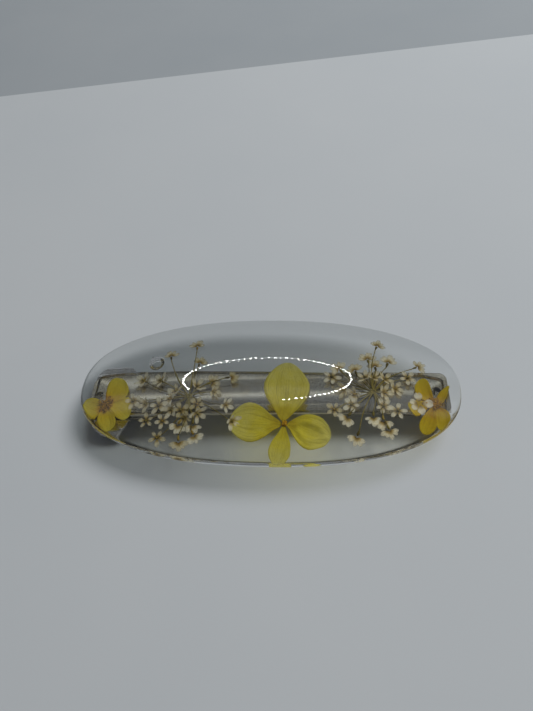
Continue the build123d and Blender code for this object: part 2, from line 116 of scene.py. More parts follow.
RIGHT_BLOSSOM = [
    [
        (36.2, -3.7), (36.0, -0.7), (35.5, 1.5), (34.6, 2.1), (33.4, 1.4), (32.5, -0.4),
        (33.0, -2.4), (34.4, -3.4),
    ],
    [
        (36.6, -3.7), (37.4, -1.8), (38.7, -0.4), (40.0, 0.5), (39.3, -1.6), (38.3, -3.7),
        (37.4, -4.0),
    ],
    [
        (36.5, -4.6), (38.1, -5.2), (39.1, -5.9), (39.3, -7.3), (38.4, -8.7), (37.3, -9.7),
        (36.5, -9.5), (35.9, -7.3),
    ],
    [
        (36.1, -4.7), (34.0, -6.8), (32.8, -8.9), (33.0, -10.6), (34.2, -11.2), (35.7, -10.4),
        (36.4, -8.9), (36.4, -6.7),
    ],
    [
        (35.7, -4.3), (33.3, -3.5), (31.0, -3.9), (31.2, -5.6), (32.3, -7.2), (33.6, -6.5),
        (35.0, -5.1),
    ],
]
LEFT_HEART = (-35.5, -5.1)
RIGHT_HEART = (36.3, -4.1)
EYE = (5.0, -9.5)

# Lace flowers: (bearing in degrees, reach) from the umbel's hub, and how the floret lies:
# "side" is pressed on its side, "open" faces up, "tilted" is between the two.
LEFT_HUB = (-16.4, -3.3)
LEFT_UMBEL = [
    (119, 12.0, "side"), (90, 13.3, "side"), (81, 8.5, "side"), (160, 12.1, "tilted"),
    (151, 8.3, "tilted"), (56, 3.0, "tilted"), (158, 3.5, "tilted"), (-174, 12.6, "open"),
    (-168, 9.9, "tilted"), (-159, 6.9, "open"), (-171, 4.5, "tilted"), (-44, 3.0, "open"),
    (-136, 5.0, "tilted"), (-110, 3.7, "open"), (-93, 5.6, "tilted"), (-58, 5.2, "tilted"),
    (-145, 10.6, "open"), (-129, 7.9, "open"), (-101, 7.2, "side"), (-75, 7.3, "side"),
    (-76, 9.7, "side"), (-119, 11.5, "open"), (-94, 10.9, "side"), (-30, 12.0, "tilted"),
    (27, 10.0, "side"), (10, 5.8, "tilted"), (-14, 9.0, "tilted"), (34, 5.7, "side"),
]
RIGHT_HUB = (23.7, -1.6)
RIGHT_UMBEL = [
    (83, 12.1, "side"), (96, 8.2, "side"), (84, 6.3, "side"), (64, 8.2, "side"), (33, 11.8, "side"),
    (127, 6.3, "side"), (144, 8.9, "side"), (160, 9.4, "open"), (116, 3.9, "tilted"),
    (85, 3.6, "tilted"), (48, 4.3, "tilted"), (25, 8.3, "open"), (8, 5.0, "tilted"),
    (-7, 2.6, "tilted"), (179, 6.5, "tilted"), (-168, 4.3, "tilted"), (-151, 9.5, "open"),
    (-131, 8.4, "side"), (-144, 5.8, "open"), (-109, 11.3, "side"), (-72, 9.5, "side"),
    (-92, 6.2, "side"), (-76, 7.2, "side"), (-61, 4.1, "open"), (-43, 6.7, "open"),
]
LOOSE_PETALS = [(95, 2.1), (0, 2.4), (-80, 2.0), (-140, 1.6), (165, 1.6)]  # bearing, length
LOOSE_CENTRE = (33.2, -4.4)
PETAL_LEAF = 0.12  # thickness of a blossom's petal
FLORET_LEAF = 0.05  # and of a lace floret's
PETAL_EDGE_STEPS = 200  # points along each side of a petal, which its rows run between


# ---- Shapes ----
class Shape:
    """Points and faces of one piece, with three numbers at each point for its material to use."""

    def __init__(self):
        self.points = []
        self.faces = []
        self.marks = []

    def add(self, points, faces, marks):
        """Adds points with their marks, and faces that count from the first of these points."""
        start = len(self.points)
        self.points.extend(tuple(p) for p in points)
        self.faces.extend(tuple(start + i for i in face) for face in faces)
        self.marks.extend(tuple(m) for m in marks)

    def grid(self, rows, marks=None, wrap=False):
        """Quads between rows of points; wrap joins each row's end to its start."""
        width = len(rows[0])
        marks = marks or [[(0, 0, 0)] * width for _ in rows]
        last = width if wrap else width - 1
        faces = []
        for r in range(len(rows) - 1):
            for c in range(last):
                d = (c + 1) % width
                faces.append((r * width + c, r * width + d, (r + 1) * width + d, (r + 1) * width + c))
        self.add([p for row in rows for p in row], faces, [m for row in marks for m in row])

    def tube(self, path, radii, shade=0.0, sides=7):
        """A round tube along a path of points, closed at both ends."""
        path = [Vector(p) for p in path]
        side = None
        rows = []
        for i, here in enumerate(path):
            ahead = path[min(i + 1, len(path) - 1)] - path[max(i - 1, 0)]
            ahead.normalize()
            if side is None:
                side = ahead.orthogonal()
            side = (side - ahead * side.dot(ahead)).normalized()
            across = ahead.cross(side)
            spokes = [side * math.cos(a) + across * math.sin(a) for a in turns(sides)]
            rows.append([here + radii[i] * spoke for spoke in spokes])
        rows = [[path[0]] * sides] + rows + [[path[-1]] * sides]
        marks = [[(r / len(rows), 0.0, shade)] * sides for r in range(len(rows))]
        self.grid(rows, marks, wrap=True)

    def grain(self, centre, axis, length, width, shade=0.0, taper=0.0, sides=8, rings=7):
        """A seed-like body round an axis; taper above 0 draws its start to a point."""
        axis = Vector(axis).normalized()
        steps = [math.cos(math.pi * (1 - r / (rings - 1))) for r in range(rings)]
        path = [Vector(centre) + axis * (length / 2 * s) for s in steps]
        radii = [width / 2 * math.sqrt(max(1 - s * s, 0.02)) * (1 - taper * (1 - s) / 2) for s in steps]
        self.tube(path, radii, shade, sides)

    def placed(self, name, material):
        """A Blender object with this shape, in metres."""
        mesh = bpy.data.meshes.new(name)
        mesh.from_pydata([[c * MM for c in p] for p in self.points], [], self.faces)
        mesh.materials.append(material)
        made = bpy.data.objects.new(name, mesh)
        bpy.context.scene.collection.objects.link(made)
        return made

    def piece(self, name, material, slot, replaces, thickness=None, shadow=True):
        """A piece that rides on the base. Thin petals are given no shadow of their own."""
        made = self.placed(name, material)
        mesh = made.data
        for index, label in enumerate(("along", "across", "shade")):
            mark = mesh.attributes.new(label, "FLOAT", "POINT")
            mark.data.foreach_set("value", [m[index] for m in self.marks])
        tidy_mesh(mesh)
        mesh.polygons.foreach_set("use_smooth", [True] * len(mesh.polygons))
        if thickness:
            solid = made.modifiers.new("thickness", "SOLIDIFY")
            solid.thickness = thickness * MM
            solid.offset = 0
        made.visible_shadow = shadow
        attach(made, BASE)
        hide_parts(*replaces)
        return made


def tidy_mesh(mesh):
    """Joins points that lie on each other, which drops the faces that have no area."""
    work = bmesh.new()
    work.from_mesh(mesh)
    bmesh.ops.remove_doubles(work, verts=work.verts, dist=0.002 * MM)
    bmesh.ops.dissolve_degenerate(work, edges=work.edges, dist=0.0005 * MM)
    work.to_mesh(mesh)
    work.free()


def turns(count):
    """Angles evenly round a full turn."""
    return [FULL_TURN * i / count for i in range(count)]


def polar(centre, bearing, reach):
    """The point at that bearing in degrees and reach from a centre."""
    a = math.radians(bearing)
    return (centre[0] + reach * math.cos(a), centre[1] + reach * math.sin(a))


def crumple(x, y, size, seed):
    """Smooth noise between about -1 and 1, with features of that size."""
    return noise.noise(Vector((x / size, y / size, seed)))


def smooth_loop(corners, count):
    """A closed smooth curve through the corners, as evenly spaced points from the first corner on."""
    p = np.array(corners, float)
    before, after, second = np.roll(p, 1, 0), np.roll(p, -1, 0), np.roll(p, -2, 0)
    t = np.linspace(0, 1, 20, endpoint=False)[None, :, None]
    a, b, c, d = (q[:, None, :] for q in (before, p, after, second))
    square, cube = 2 * a - 5 * b + 4 * c - d, 3 * b - a - 3 * c + d
    curve = 0.5 * (2 * b + (c - a) * t + square * t**2 + cube * t**3)
    return even_steps(np.vstack([curve.reshape(-1, 2), p[:1]]), count + 1)[:-1]


def even_steps(points, count):
    """The same line with count points, evenly spaced along it."""
    points = np.asarray(points, float)
    gaps = np.hypot(*np.diff(points, axis=0).T)
    run = np.concatenate([[0], np.cumsum(gaps)])
    at = np.linspace(0, run[-1], count)
    return np.column_stack([np.interp(at, run, points[:, k]) for k in range(points.shape[1])])


# ---- Materials ----
EDGE_WEAR = 0.25  # how far in from a steel edge its worn rounding reaches
HALF_SHADE = 36.0  # the light let through changes over this far either way, in Y minus X
HALF_PAINTED_SHADE = 15.0  # painted shade: the colour darkens from the near to the far side over this far either way


def material_tree(name):
    """A new material with an empty node tree."""
    material = bpy.data.materials.new(name)
    material.use_nodes = True
    material.node_tree.nodes.clear()
    return material, material.node_tree


def node(tree, kind, inputs=None, **settings):
    """Adds a node. A plain value sets a socket, and a socket is linked to it."""
    made = tree.nodes.new("ShaderNode" + kind)
    for key, value in settings.items():
        setattr(made, key, value)
    for key, value in (inputs or {}).items():
        if isinstance(value, bpy.types.NodeSocket):
            tree.links.new(value, made.inputs[key])
        else:
            made.inputs[key].default_value = value
    return made


def finish_material(tree, shader):
    """Joins a shader to the material's output."""
    node(tree, "OutputMaterial", {"Surface": shader})


def ramp(tree, fac, stops):
    """A colour ramp through (position, (r, g, b)) stops."""
    made = node(tree, "ValToRGB", {"Fac": fac})
    elements = made.color_ramp.elements
    while len(elements) < len(stops):
        elements.new(0.5)
    for element, (position, colour) in zip(elements, stops):
        element.position = position
        element.color = (*colour, 1.0)
    return made.outputs["Color"]


def mark(tree, label):
    """One of the three numbers that Shape.piece stores at each point."""
    return node(tree, "Attribute", attribute_name=label).outputs["Fac"]


def maths(tree, operation, a, b=0.0):
    """The result of a maths node."""
    return node(tree, "Math", {0: a, 1: b}, operation=operation).outputs[0]


def mix_colours(tree, fac, a, b, blend="MIX"):
    """Colour a with b blended over it, by fac."""
    made = node(tree, "Mix", {0: fac, 6: a, 7: b}, data_type="RGBA", blend_type=blend)
    return made.outputs[2]


def rescaled(tree, value, low, high, start=0.0, end=1.0):
    """The value's place between low and high, told as a number from start to end."""
    sockets = {"Value": value, "From Min": low, "From Max": high, "To Min": start, "To Max": end}
    return node(tree, "MapRange", sockets).outputs[0]


def place(tree, stretch=(1, 1, 1)):
    """Object coordinates in millimetres, stretched."""
    where = node(tree, "TexCoord").outputs["Object"]
    return node(tree, "Mapping", {"Vector": where, "Scale": [s / MM for s in stretch]}).outputs[0]


def speckle(tree, where, scale, detail=3.0, rough=0.55):
    """Cloudy noise, whose features are about 1 / scale millimetres across."""
    return node(
        tree, "TexNoise", {"Vector": where, "Scale": scale, "Detail": detail, "Roughness": rough}
    ).outputs["Fac"]


def bumped(tree, height, depth, strength=1.0, onto=None):
    """A bump of that depth in millimetres, on top of another normal if one is given."""
    made = node(tree, "Bump", {"Height": height, "Distance": depth * MM, "Strength": strength})
    if onto is not None:
        tree.links.new(onto, made.inputs["Normal"])
    return made.outputs["Normal"]


def dull_skin(tree, colour, roughness, specular, normal):
    """The shader of a dull surface, with a weak highlight."""
    sockets = {"Base Color": colour, "Roughness": roughness, "Specular IOR Level": specular}
    return node(tree, "BsdfPrincipled", {**sockets, "Normal": normal}).outputs[0]


def clear_plastic(name, tint, shadow_tint, ripple):
    """Clear cast resin or glue: glass that lets part of the lamps' light through to what is under it.

    tint is the plastic's colour at the near side and at the far side; the darker far colour is painted
    shade.
    shadow_tint is the light let through near the right, in the middle and far on the left: the dome
    gathers the light that comes from the far right towards the near right.
    """
    material, tree = material_tree(name)
    where = place(tree)
    parts = node(tree, "SeparateXYZ", {"Vector": where})
    swirl = speckle(tree, where, 0.09, 2.0)
    normal = bumped(tree, swirl, ripple, 0.6)
    cloud = maths(tree, "MULTIPLY", speckle(tree, where, 0.35, 4.0), 0.2)
    # Painted shade: the colour darkens from the near side towards the far side, with random clouds of
    # tone.
    far = rescaled(tree, parts.outputs["Y"], -HALF_PAINTED_SHADE, HALF_PAINTED_SHADE)
    tint_and_painted_shade = ramp(tree, maths(tree, "ADD", far, cloud), [(0.3, tint[0]), (0.95, tint[1])])
    glass = node(
        tree,
        "BsdfPrincipled",
        {"Base Color": tint_and_painted_shade, "Transmission Weight": 1.0, "IOR": 1.5, "Roughness": 0.0, "Normal": normal},
    )
    far_left = maths(tree, "SUBTRACT", parts.outputs["Y"], parts.outputs["X"])
    focus = rescaled(tree, far_left, -HALF_SHADE, HALF_SHADE)
    caught = ramp(tree, focus, list(zip((0.0, 0.5, 1.0), shadow_tint)))
    shade = node(tree, "BsdfTransparent", {"Color": caught})
    is_shadow = node(tree, "LightPath").outputs["Is Shadow Ray"]
    mixed = node(tree, "MixShader", {0: is_shadow, 1: glass.outputs[0], 2: shade.outputs[0]})
    finish_material(tree, mixed.outputs[0])
    return material


def petal_material(name, deep, mid, pale, veins, glow):
    """A pressed petal: veins fan out from the claw, the colour pales to the tip, light comes through."""
    material, tree = material_tree(name)
    where = place(tree)
    along, across, shade = mark(tree, "along"), mark(tree, "across"), mark(tree, "shade")
    blotch = speckle(tree, where, 0.5, 4.0)
    fine = speckle(tree, where, 3.5, 3.0)
    fan = node(tree, "CombineXYZ", {"X": maths(tree, "MULTIPLY", across, veins), "Y": along, "Z": shade})
    vein = speckle(tree, fan.outputs[0], 1.6, 4.0, 0.6)
    height = maths(tree, "ADD", along, maths(tree, "MULTIPLY", maths(tree, "SUBTRACT", blotch, 0.5), 0.7))
    base = ramp(tree, height, [(0.0, deep), (0.35, mid), (1.0, pale)])
    streaks = ramp(tree, vein, [(0.3, (0.62, 0.58, 0.5)), (0.5, (1, 1, 1)), (0.72, (0.86, 0.83, 0.76))])
    dust = ramp(tree, fine, [(0.3, (0.8, 0.78, 0.7)), (0.6, (1, 1, 1))])
    colour = mix_colours(tree, 0.75, base, streaks, "MULTIPLY")
    colour = mix_colours(tree, 0.6, colour, dust, "MULTIPLY")
    relief = maths(tree, "ADD", vein, maths(tree, "MULTIPLY", fine, 0.5))
    normal = bumped(tree, relief, 0.08, 0.7)
    skin = dull_skin(tree, colour, 0.5, 0.3, normal)
    through = node(tree, "BsdfTranslucent", {"Color": colour, "Normal": normal})
    body = node(tree, "MixShader", {0: glow, 1: skin, 2: through.outputs[0]})
    clear = node(tree, "BsdfTransparent", {"Color": (1.0, 0.97, 0.86, 1.0)})
    thin = maths(tree, "MULTIPLY", maths(tree, "POWER", along, 2.0), 0.22)
    mixed = node(tree, "MixShader", {0: thin, 1: body.outputs[0], 2: clear.outputs[0]})
    finish_material(tree, mixed.outputs[0])
    return material


def floret_material():
    """Papery cream petals of the lace flowers, thin enough to see through at their edges."""
    material, tree = material_tree("cream_floret_paper")
    along, across, shade = mark(tree, "along"), mark(tree, "across"), mark(tree, "shade")
    where = place(tree)
    grain = speckle(tree, where, 4.0, 3.0)
    fan = node(tree, "CombineXYZ", {"X": maths(tree, "MULTIPLY", across, 5.0), "Y": along, "Z": shade})
    vein = speckle(tree, fan.outputs[0], 2.0, 3.0)
    whole = ramp(
        tree, along, [(0.0, (0.26, 0.16, 0.03)), (0.24, (0.56, 0.46, 0.22)), (0.5, (0.86, 0.83, 0.70))]
    )
    age = ramp(
        tree, shade, [(0.0, (1.0, 1.0, 1.0)), (0.55, (0.97, 0.93, 0.84)), (1.0, (0.86, 0.80, 0.58))]
    )
    lines = ramp(tree, vein, [(0.35, (0.78, 0.74, 0.62)), (0.6, (1, 1, 1))])
    colour = mix_colours(tree, 1.0, whole, age, "MULTIPLY")
    colour = mix_colours(tree, 0.7, colour, lines, "MULTIPLY")
    normal = bumped(tree, maths(tree, "ADD", vein, grain), 0.04, 0.6)
    skin = dull_skin(tree, colour, 0.55, 0.3, normal)
    through = node(tree, "BsdfTranslucent", {"Color": colour})
    body = node(tree, "MixShader", {0: 0.4, 1: skin, 2: through.outputs[0]})
    clear = node(tree, "BsdfTransparent")
    thin = maths(tree, "ADD", maths(tree, "MULTIPLY", shade, 0.35), 0.42)
    holes = maths(tree, "MULTIPLY", thin, along)
    mixed = node(tree, "MixShader", {0: holes, 1: body.outputs[0], 2: clear.outputs[0]})
    finish_material(tree, mixed.outputs[0])
    return material


def stalk_material(name, dark, light, amber, scale):
    """Dried stalks, calyces and stamens: streaky and dull. A high shade mark gives amber."""
    material, tree = material_tree(name)
    where = place(tree, (1.0, 1.0, 0.6))
    streak = speckle(tree, where, scale, 4.0, 0.65)
    shade = mark(tree, "shade")
    mixed = maths(tree, "ADD", maths(tree, "MULTIPLY", streak, 0.6), maths(tree, "MULTIPLY", shade, 0.5))
    colour = ramp(tree, mixed, [(0.2, dark), (0.75, light), (1.0, amber)])
    normal = bumped(tree, streak, 0.05, 0.8)
    finish_material(tree, dull_skin(tree, colour, 0.6, 0.35, normal))
    return material


def brushed_metal(name, dull, bright, warm, streak_stretch, rough_low, rough_high):
    """Plated or spring steel with fine brush lines, warm tarnish and small pits."""
    material, tree = material_tree(name)
    lines = speckle(tree, place(tree, streak_stretch), 1.0, 5.0, 0.7)
    where = place(tree)
    cloud = speckle(tree, where, 0.22, 4.0)
    pits = speckle(tree, where, 5.0, 2.0)
    base = ramp(tree, lines, [(0.25, dull), (0.7, bright)])
    tarnish = ramp(tree, cloud, [(0.42, (0.0, 0.0, 0.0)), (0.72, (1.0, 1.0, 1.0))])
    colour = mix_colours(tree, tarnish, base, (*warm, 1.0))
    marks = ramp(tree, pits, [(0.24, (0.55, 0.5, 0.45)), (0.34, (1, 1, 1))])
    colour = mix_colours(tree, 0.8, colour, marks, "MULTIPLY")
    rough = rescaled(tree, lines, 0.3, 0.7, rough_low, rough_high)
    worn = node(tree, "Bevel", {"Radius": EDGE_WEAR * MM}, samples=4)
    normal = bumped(tree, lines, 0.0015, 0.6, bumped(tree, cloud, 0.05, 0.5, worn.outputs[0]))
    skin = node(
        tree,
        "BsdfPrincipled",
        {"Base Color": colour, "Metallic": 1.0, "Roughness": rough, "Normal": normal},
    )
    finish_material(tree, skin.outputs[0])
    return material


RESIN = clear_plastic(
    "clear_resin_cast",
    # near colour, then a darker far colour that is painted shade
    [(0.965, 0.97, 0.955), (0.80, 0.815, 0.81)],
    [(0.88, 0.88, 0.85), (0.64, 0.65, 0.64), (0.54, 0.56, 0.56)],
    0.06,
)
GLUE = clear_plastic(
    "clear_glue_cured",
    [(0.95, 0.95, 0.93), (0.93, 0.93, 0.91)],
    [(0.9, 0.9, 0.87)] * 3,
    0.03,
)
YELLOW = petal_material(
    "yellow_petal_skin", (0.62, 0.50, 0.03), (0.76, 0.68, 0.07), (0.78, 0.74, 0.26), 9.0, 0.45
)
SMALL_YELLOW = petal_material(
    "small_yellow_skin", (0.60, 0.25, 0.006), (0.76, 0.60, 0.03), (0.78, 0.70, 0.11), 7.0, 0.4
)
GOLDEN = petal_material(
    "golden_petal_skin", (0.46, 0.20, 0.008), (0.58, 0.41, 0.01), (0.62, 0.50, 0.025), 7.0, 0.35
)
FLORET = floret_material()
STALK = stalk_material(
    "dried_stalk_fibre", (0.05, 0.035, 0.008), (0.25, 0.20, 0.04), (0.34, 0.18, 0.02), 2.2
)
STAMEN = stalk_material(
    "dried_stamen_fibre", (0.16, 0.055, 0.003), (0.52, 0.28, 0.006), (0.62, 0.36, 0.01), 2.5
)
STEEL = brushed_metal(
    "plated_steel_brushed",
    dull=(0.56, 0.53, 0.45),
    bright=(0.70, 0.66, 0.56),
    warm=(0.62, 0.54, 0.38),
    streak_stretch=(6.0, 0.25, 0.5),
    rough_low=0.13,
    rough_high=0.22,
)
SPRING = brushed_metal(
    "spring_steel_rolled",
    dull=(0.40, 0.40, 0.41),
    bright=(0.66, 0.66, 0.66),
    warm=(0.56, 0.52, 0.46),
    streak_stretch=(0.12, 3.5, 0.5),
    rough_low=0.18,
    rough_high=0.34,
)


# ---- Places read from the CAD frame ----
def millimetre_box(name):
    """The low and high corners of a CAD node."""
    low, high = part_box(name)
    return low / MM, high / MM


def layer_height(name):
    """Height of the middle of a CAD node."""
    low, high = millimetre_box(name)
    return (low.z + high.z) / 2


dome_low, dome_high = millimetre_box("casting_dome")
HALF_LENGTH = (dome_high.x - dome_low.x) / 2
HALF_WIDTH = (dome_high.y - dome_low.y) / 2
CROWN_TOP = dome_high.z
BACK_Z = millimetre_box("casting_back")[0].z
FLORET_Z = layer_height("left_umbel_florets")
RAY_Z = layer_height("left_umbel_rays")
PETAL_Z = layer_height("hydrangea_petal_far")


# ---- Resin casting ----
def crown(x, y):
    """Height of the dome, from its two radii."""
    along = CROWN_ALONG - math.sqrt(CROWN_ALONG**2 - x * x)
    across = CROWN_ACROSS - math.sqrt(CROWN_ACROSS**2 - y * y)
    return CROWN_TOP - along - across


def casting_outline():
    """Points evenly round the superellipse, each with its outward direction."""
    spans = []
    for a in np.linspace(0, FULL_TURN, 4000):
        c, s = math.cos(a), math.sin(a)
        x = HALF_LENGTH * math.copysign(abs(c) ** (2 / OUTLINE_POWER), c)
        y = HALF_WIDTH * math.copysign(abs(s) ** (2 / OUTLINE_POWER), s)
        spans.append((x, y))
    points = even_steps(spans, OUTLINE_STEPS + 1)[:-1]
    power = OUTLINE_POWER - 1
    outward = np.column_stack(
        [
            np.sign(points[:, 0]) * np.abs(points[:, 0] / HALF_LENGTH) ** power / HALF_LENGTH,
            np.sign(points[:, 1]) * np.abs(points[:, 1] / HALF_WIDTH) ** power / HALF_WIDTH,
        ]
    )
    return points, outward / np.linalg.norm(outward, axis=1)[:, None]


def casting_rings():
    """Rings of points from the middle of the back, round the rim, to the middle of the crown."""
    points, outward = casting_outline()
    spine = HALF_LENGTH - HALF_WIDTH  # the crown's rings close on a line this far each way
    rings = []

    def towards_spine(ring, share, height):
        """The ring drawn in by that share of its way to the spine."""
        end = np.column_stack([ring[:, 0] * spine / HALF_LENGTH, ring[:, 1] * 0])
        flat = ring + (end - ring) * share
        return [(x, y, height(x, y)) for x, y in flat]

    back = points - outward * BACK_ROUND
    for share in (1.0, 0.75, 0.5, 0.25, 0.0):
        rings.append(towards_spine(back, share, lambda x, y: BACK_Z))
    for i in range(1, BACK_STEPS + 1):
        a = math.pi / 2 * i / BACK_STEPS
        inset, rise = BACK_ROUND * (1 - math.sin(a)), BACK_ROUND * (1 - math.cos(a))
        rings.append([(x, y, BACK_Z + rise) for x, y in points - outward * inset])
    slopes = []
    for p, n in zip(points, outward):
        inner = p - n * RIM_ROUND
        slopes.append((crown(*inner) - crown(*p)) / RIM_ROUND)
    rim = []
    for i in range(RIM_STEPS + 1):
        ring = []
        for p, n, m in zip(points, outward, slopes):
            lean = math.hypot(1, m)
            touch = p - n * RIM_ROUND * (1 - m / lean)
            middle_z = crown(*touch) - RIM_ROUND / lean
            a = (math.pi / 2 - math.atan(m)) * i / RIM_STEPS
            at = p - n * RIM_ROUND * (1 - math.cos(a))
            ring.append((at[0], at[1], middle_z + RIM_ROUND * math.sin(a)))
        rim.append(ring)
    side_start = BACK_Z + BACK_ROUND
    for share in (0.25, 0.5, 0.75):
        rings.append([(x, y, side_start + (z - side_start) * share) for x, y, z in rim[0]])
    rings.extend(rim)
    top = np.array(rim[-1])[:, :2]
    for i in range(1, CROWN_RINGS + 1):
        rings.append(towards_spine(top, i / CROWN_RINGS, crown))
    return rings


def build_casting():
    """The whole casting as one closed surface, with the bubbles inside it."""
    shape = Shape()
    shape.grid(casting_rings(), wrap=True)
    for x, y, z, radius in BUBBLES:
        add_bubble(shape, x, y, z, radius)
    return shape.piece("resin_casting", RESIN, "clear_resin", ("casting_dome", "casting_back"))


def add_bubble(shape, x, y, z, radius, rings=16, sides=28):
    """A trapped air bubble, slightly flattened, whose faces look inwards because air is inside it."""
    rows = []
    for r in range(rings + 1):
        a = math.pi * r / rings
        flat = radius * math.sin(a)
        height = z + BUBBLE_SQUASH * radius * math.cos(a)
        rows.append([(x + flat * math.cos(b), y + flat * math.sin(b), height) for b in turns(sides)])
    shape.grid(rows, wrap=True)


casting = build_casting()
casting.visible_diffuse = False


# ---- Glue bed ----
def build_glue():
    """The glue squeezed out round the base plate, wavering along its edge."""
    low, high = millimetre_box("adhesive_bed")
    centre, half = (low + high) / 2, (high - low) / 2
    top = high.z + GLUE_LAP
    profile = [  # how far in from the bed's edge, and height, from the middle below to the middle above
        (half.y, low.z),
        (0.25, low.z),
        (0.5, low.z + 0.2),
        (0.3, high.z - 0.2),
        (0.0, high.z),
        (0.3, top),
        (half.y, top),
    ]
    rows = []
    for inset, z in profile:
        row = []
        for a in turns(GLUE_STEPS):
            c, s = math.cos(a), math.sin(a)
            x = math.copysign(abs(c) ** GLUE_SQUARE, c)
            y = math.copysign(abs(s) ** GLUE_SQUARE, s)
            waver = GLUE_WAVER * (0.5 + 0.5 * crumple(x * half.x, y * half.y, 3.5, 4.0))
            pull = min(inset + waver, half.y)
            row.append((centre.x + x * (half.x - pull), centre.y + y * (half.y - pull), z))
        rows.append(row)
    shape = Shape()
    shape.grid(rows, wrap=True)
    return shape.piece("glue_bed", GLUE, "clear_glue", ("adhesive_bed",))


glue = build_glue()
glue.visible_diffuse = False


# ---- Petals ----
def add_petal(shape, corners, z, relief, shade, rows=22, columns=14):
    """A petal inside a closed outline that starts at its claw; relief gives its height above z."""
    loop = smooth_loop(corners, 160)
    claw = loop[0]
    tip = int(np.argmax(np.hypot(*(loop - claw).T)))
    one = even_steps(loop[: tip + 1], PETAL_EDGE_STEPS)
    other = even_steps(np.vstack([loop[tip:], claw])[::-1], PETAL_EDGE_STEPS)
    grid, marks = [], []
    for r in range(rows + 1):
        share = 0.5 - 0.5 * math.cos(math.pi * r / rows)
        pick = round(share * (PETAL_EDGE_STEPS - 1))
        a, b = one[pick], other[pick]
        row, row_marks = [], []
        for c in range(columns + 1):
            v = 2 * c / columns - 1
            x, y = a + (b - a) * (v + 1) / 2
            row.append((x, y, z + relief(share, v, x, y)))
            row_marks.append((share, v, shade))
        grid.append(row)
        marks.append(row_marks)
    shape.grid(grid, marks)


def gentle(cup, wave, seed):
    """A slightly cupped petal with soft waves and a raised rib."""

    def relief(along, across, x, y):
        rib = 0.10 * math.exp(-((across / 0.12) ** 2)) * (1 - along)
        edge = across * across * math.sin(math.pi * along)
        waves = wave * crumple(x, y, 2.4, seed) + 0.4 * wave * crumple(x, y, 0.9, seed)
        return cup * edge + waves + rib

    return relief


def pouched(along, across, x, y):
    """The puckered petal: a raised ridge curls round a hollow near its middle."""
    away = math.hypot((along - 0.52) / 0.27, across / 0.5)
    uneven = 0.65 - 0.35 * math.sin(4 * across + 3 * along)
    ridge = 0.75 * math.exp(-(((away - 1) / 0.22) ** 2)) * uneven
    hollow = -0.3 * math.exp(-((away / 0.6) ** 2))
    return ridge + hollow + gentle(0.5, 0.22, 8.0)(along, across, x, y)


HYDRANGEA = [
    ("far", FAR_PETAL, gentle(0.45, 0.26, 3.0), 0.75),
    ("left", LEFT_PETAL, gentle(0.40, 0.20, 5.0), 0.45),
    ("near", NEAR_PETAL, gentle(0.25, 0.14, 6.0), 0.15),
    ("right", RIGHT_PETAL, pouched, 0.25),
]
for side, corners, relief, shade in HYDRANGEA:
    petal = Shape()
    add_petal(petal, corners, PETAL_Z + 0.1, relief, shade)
    petal.piece(
        "hydrangea_petal_" + side + "_leaf",
        YELLOW,
        "yellow_petal",
        ("hydrangea_petal_" + side,),
        thickness=PETAL_LEAF,
        shadow=False,
    )


def build_blossom(side, petals, material, slot):
    """The petals of a small blossom, which overlap in turn."""
    leaves = Shape()
    for index, corners in enumerate(petals):
        lift = PETAL_Z + PETAL_LEAF * (index % 2)
        relief = gentle(0.35, 0.16, 11.0 + index)
        add_petal(leaves, corners, lift, relief, index / 5, rows=16, columns=10)
    name = side + "_blossom_petals"
    leaves.piece(name + "_leaves", material, slot, (name,), thickness=PETAL_LEAF, shadow=False)


def add_stamens(shape, centre, count, spread, draw):
    """Filaments that lean out of the heart, each with an anther at its end, over a low cushion."""
    cx, cy = centre
    shape.grain((cx, cy, PETAL_Z + 0.15), (0, 0, 1), 0.7, 1.7, 0.2, sides=14)
    for _ in range(count):
        a = draw.uniform(0, FULL_TURN)
        reach = spread * math.sqrt(draw.uniform(0.02, 1))
        out = Vector((math.cos(a), math.sin(a), 0))
        root = Vector((cx, cy, PETAL_Z + 0.2)) + out * reach * 0.2
        end = Vector((cx, cy, PETAL_Z + draw.uniform(0.35, 0.75))) + out * reach
        bend = (root + end) / 2 + Vector((draw.uniform(-0.2, 0.2), draw.uniform(-0.2, 0.2), 0.15))
        shape.tube([root, bend, end], [0.05, 0.045, 0.035], draw.uniform(0.2, 0.9), sides=5)
        lean = out + Vector((draw.uniform(-0.5, 0.5), draw.uniform(-0.5, 0.5), draw.uniform(-0.2, 0.5)))
        length, width, shade = draw.uniform(0.3, 0.5), draw.uniform(0.18, 0.3), draw.uniform(0, 1)
        shape.grain(end, lean, length, width, shade, sides=6, rings=5)


build_blossom("left", LEFT_BLOSSOM, SMALL_YELLOW, "yellow_petal")
build_blossom("right", RIGHT_BLOSSOM, GOLDEN, "golden_petal")
for side, centre, count, spread, seed in (
    ("left", LEFT_HEART, 75, 2.0, 21),
    ("right", RIGHT_HEART, 55, 1.6, 22),
):
    heart = Shape()
    add_stamens(heart, centre, count, spread, random.Random(seed))
    name = side + "_blossom_heart"
    heart.piece(name + "_stamens", STAMEN, "dried_stamen", (name,))

eye = Shape()
eye_z = PETAL_Z + 0.3
eye.grain((*EYE, eye_z), (0, 0, 1), 0.9, 1.1, 0.5, sides=12)
for bearing in (40, 130, 215, 310):  # in degrees; taken as radians it scatters how the knobs lean
    knob = polar(EYE, bearing, 0.42)
    eye.grain((*knob, eye_z + 0.15), (math.cos(bearing), math.sin(bearing), 0.6), 0.75, 0.5, 0.9)
eye.piece("hydrangea_eye_knobs", STAMEN, "dried_stamen", ("hydrangea_eye",))


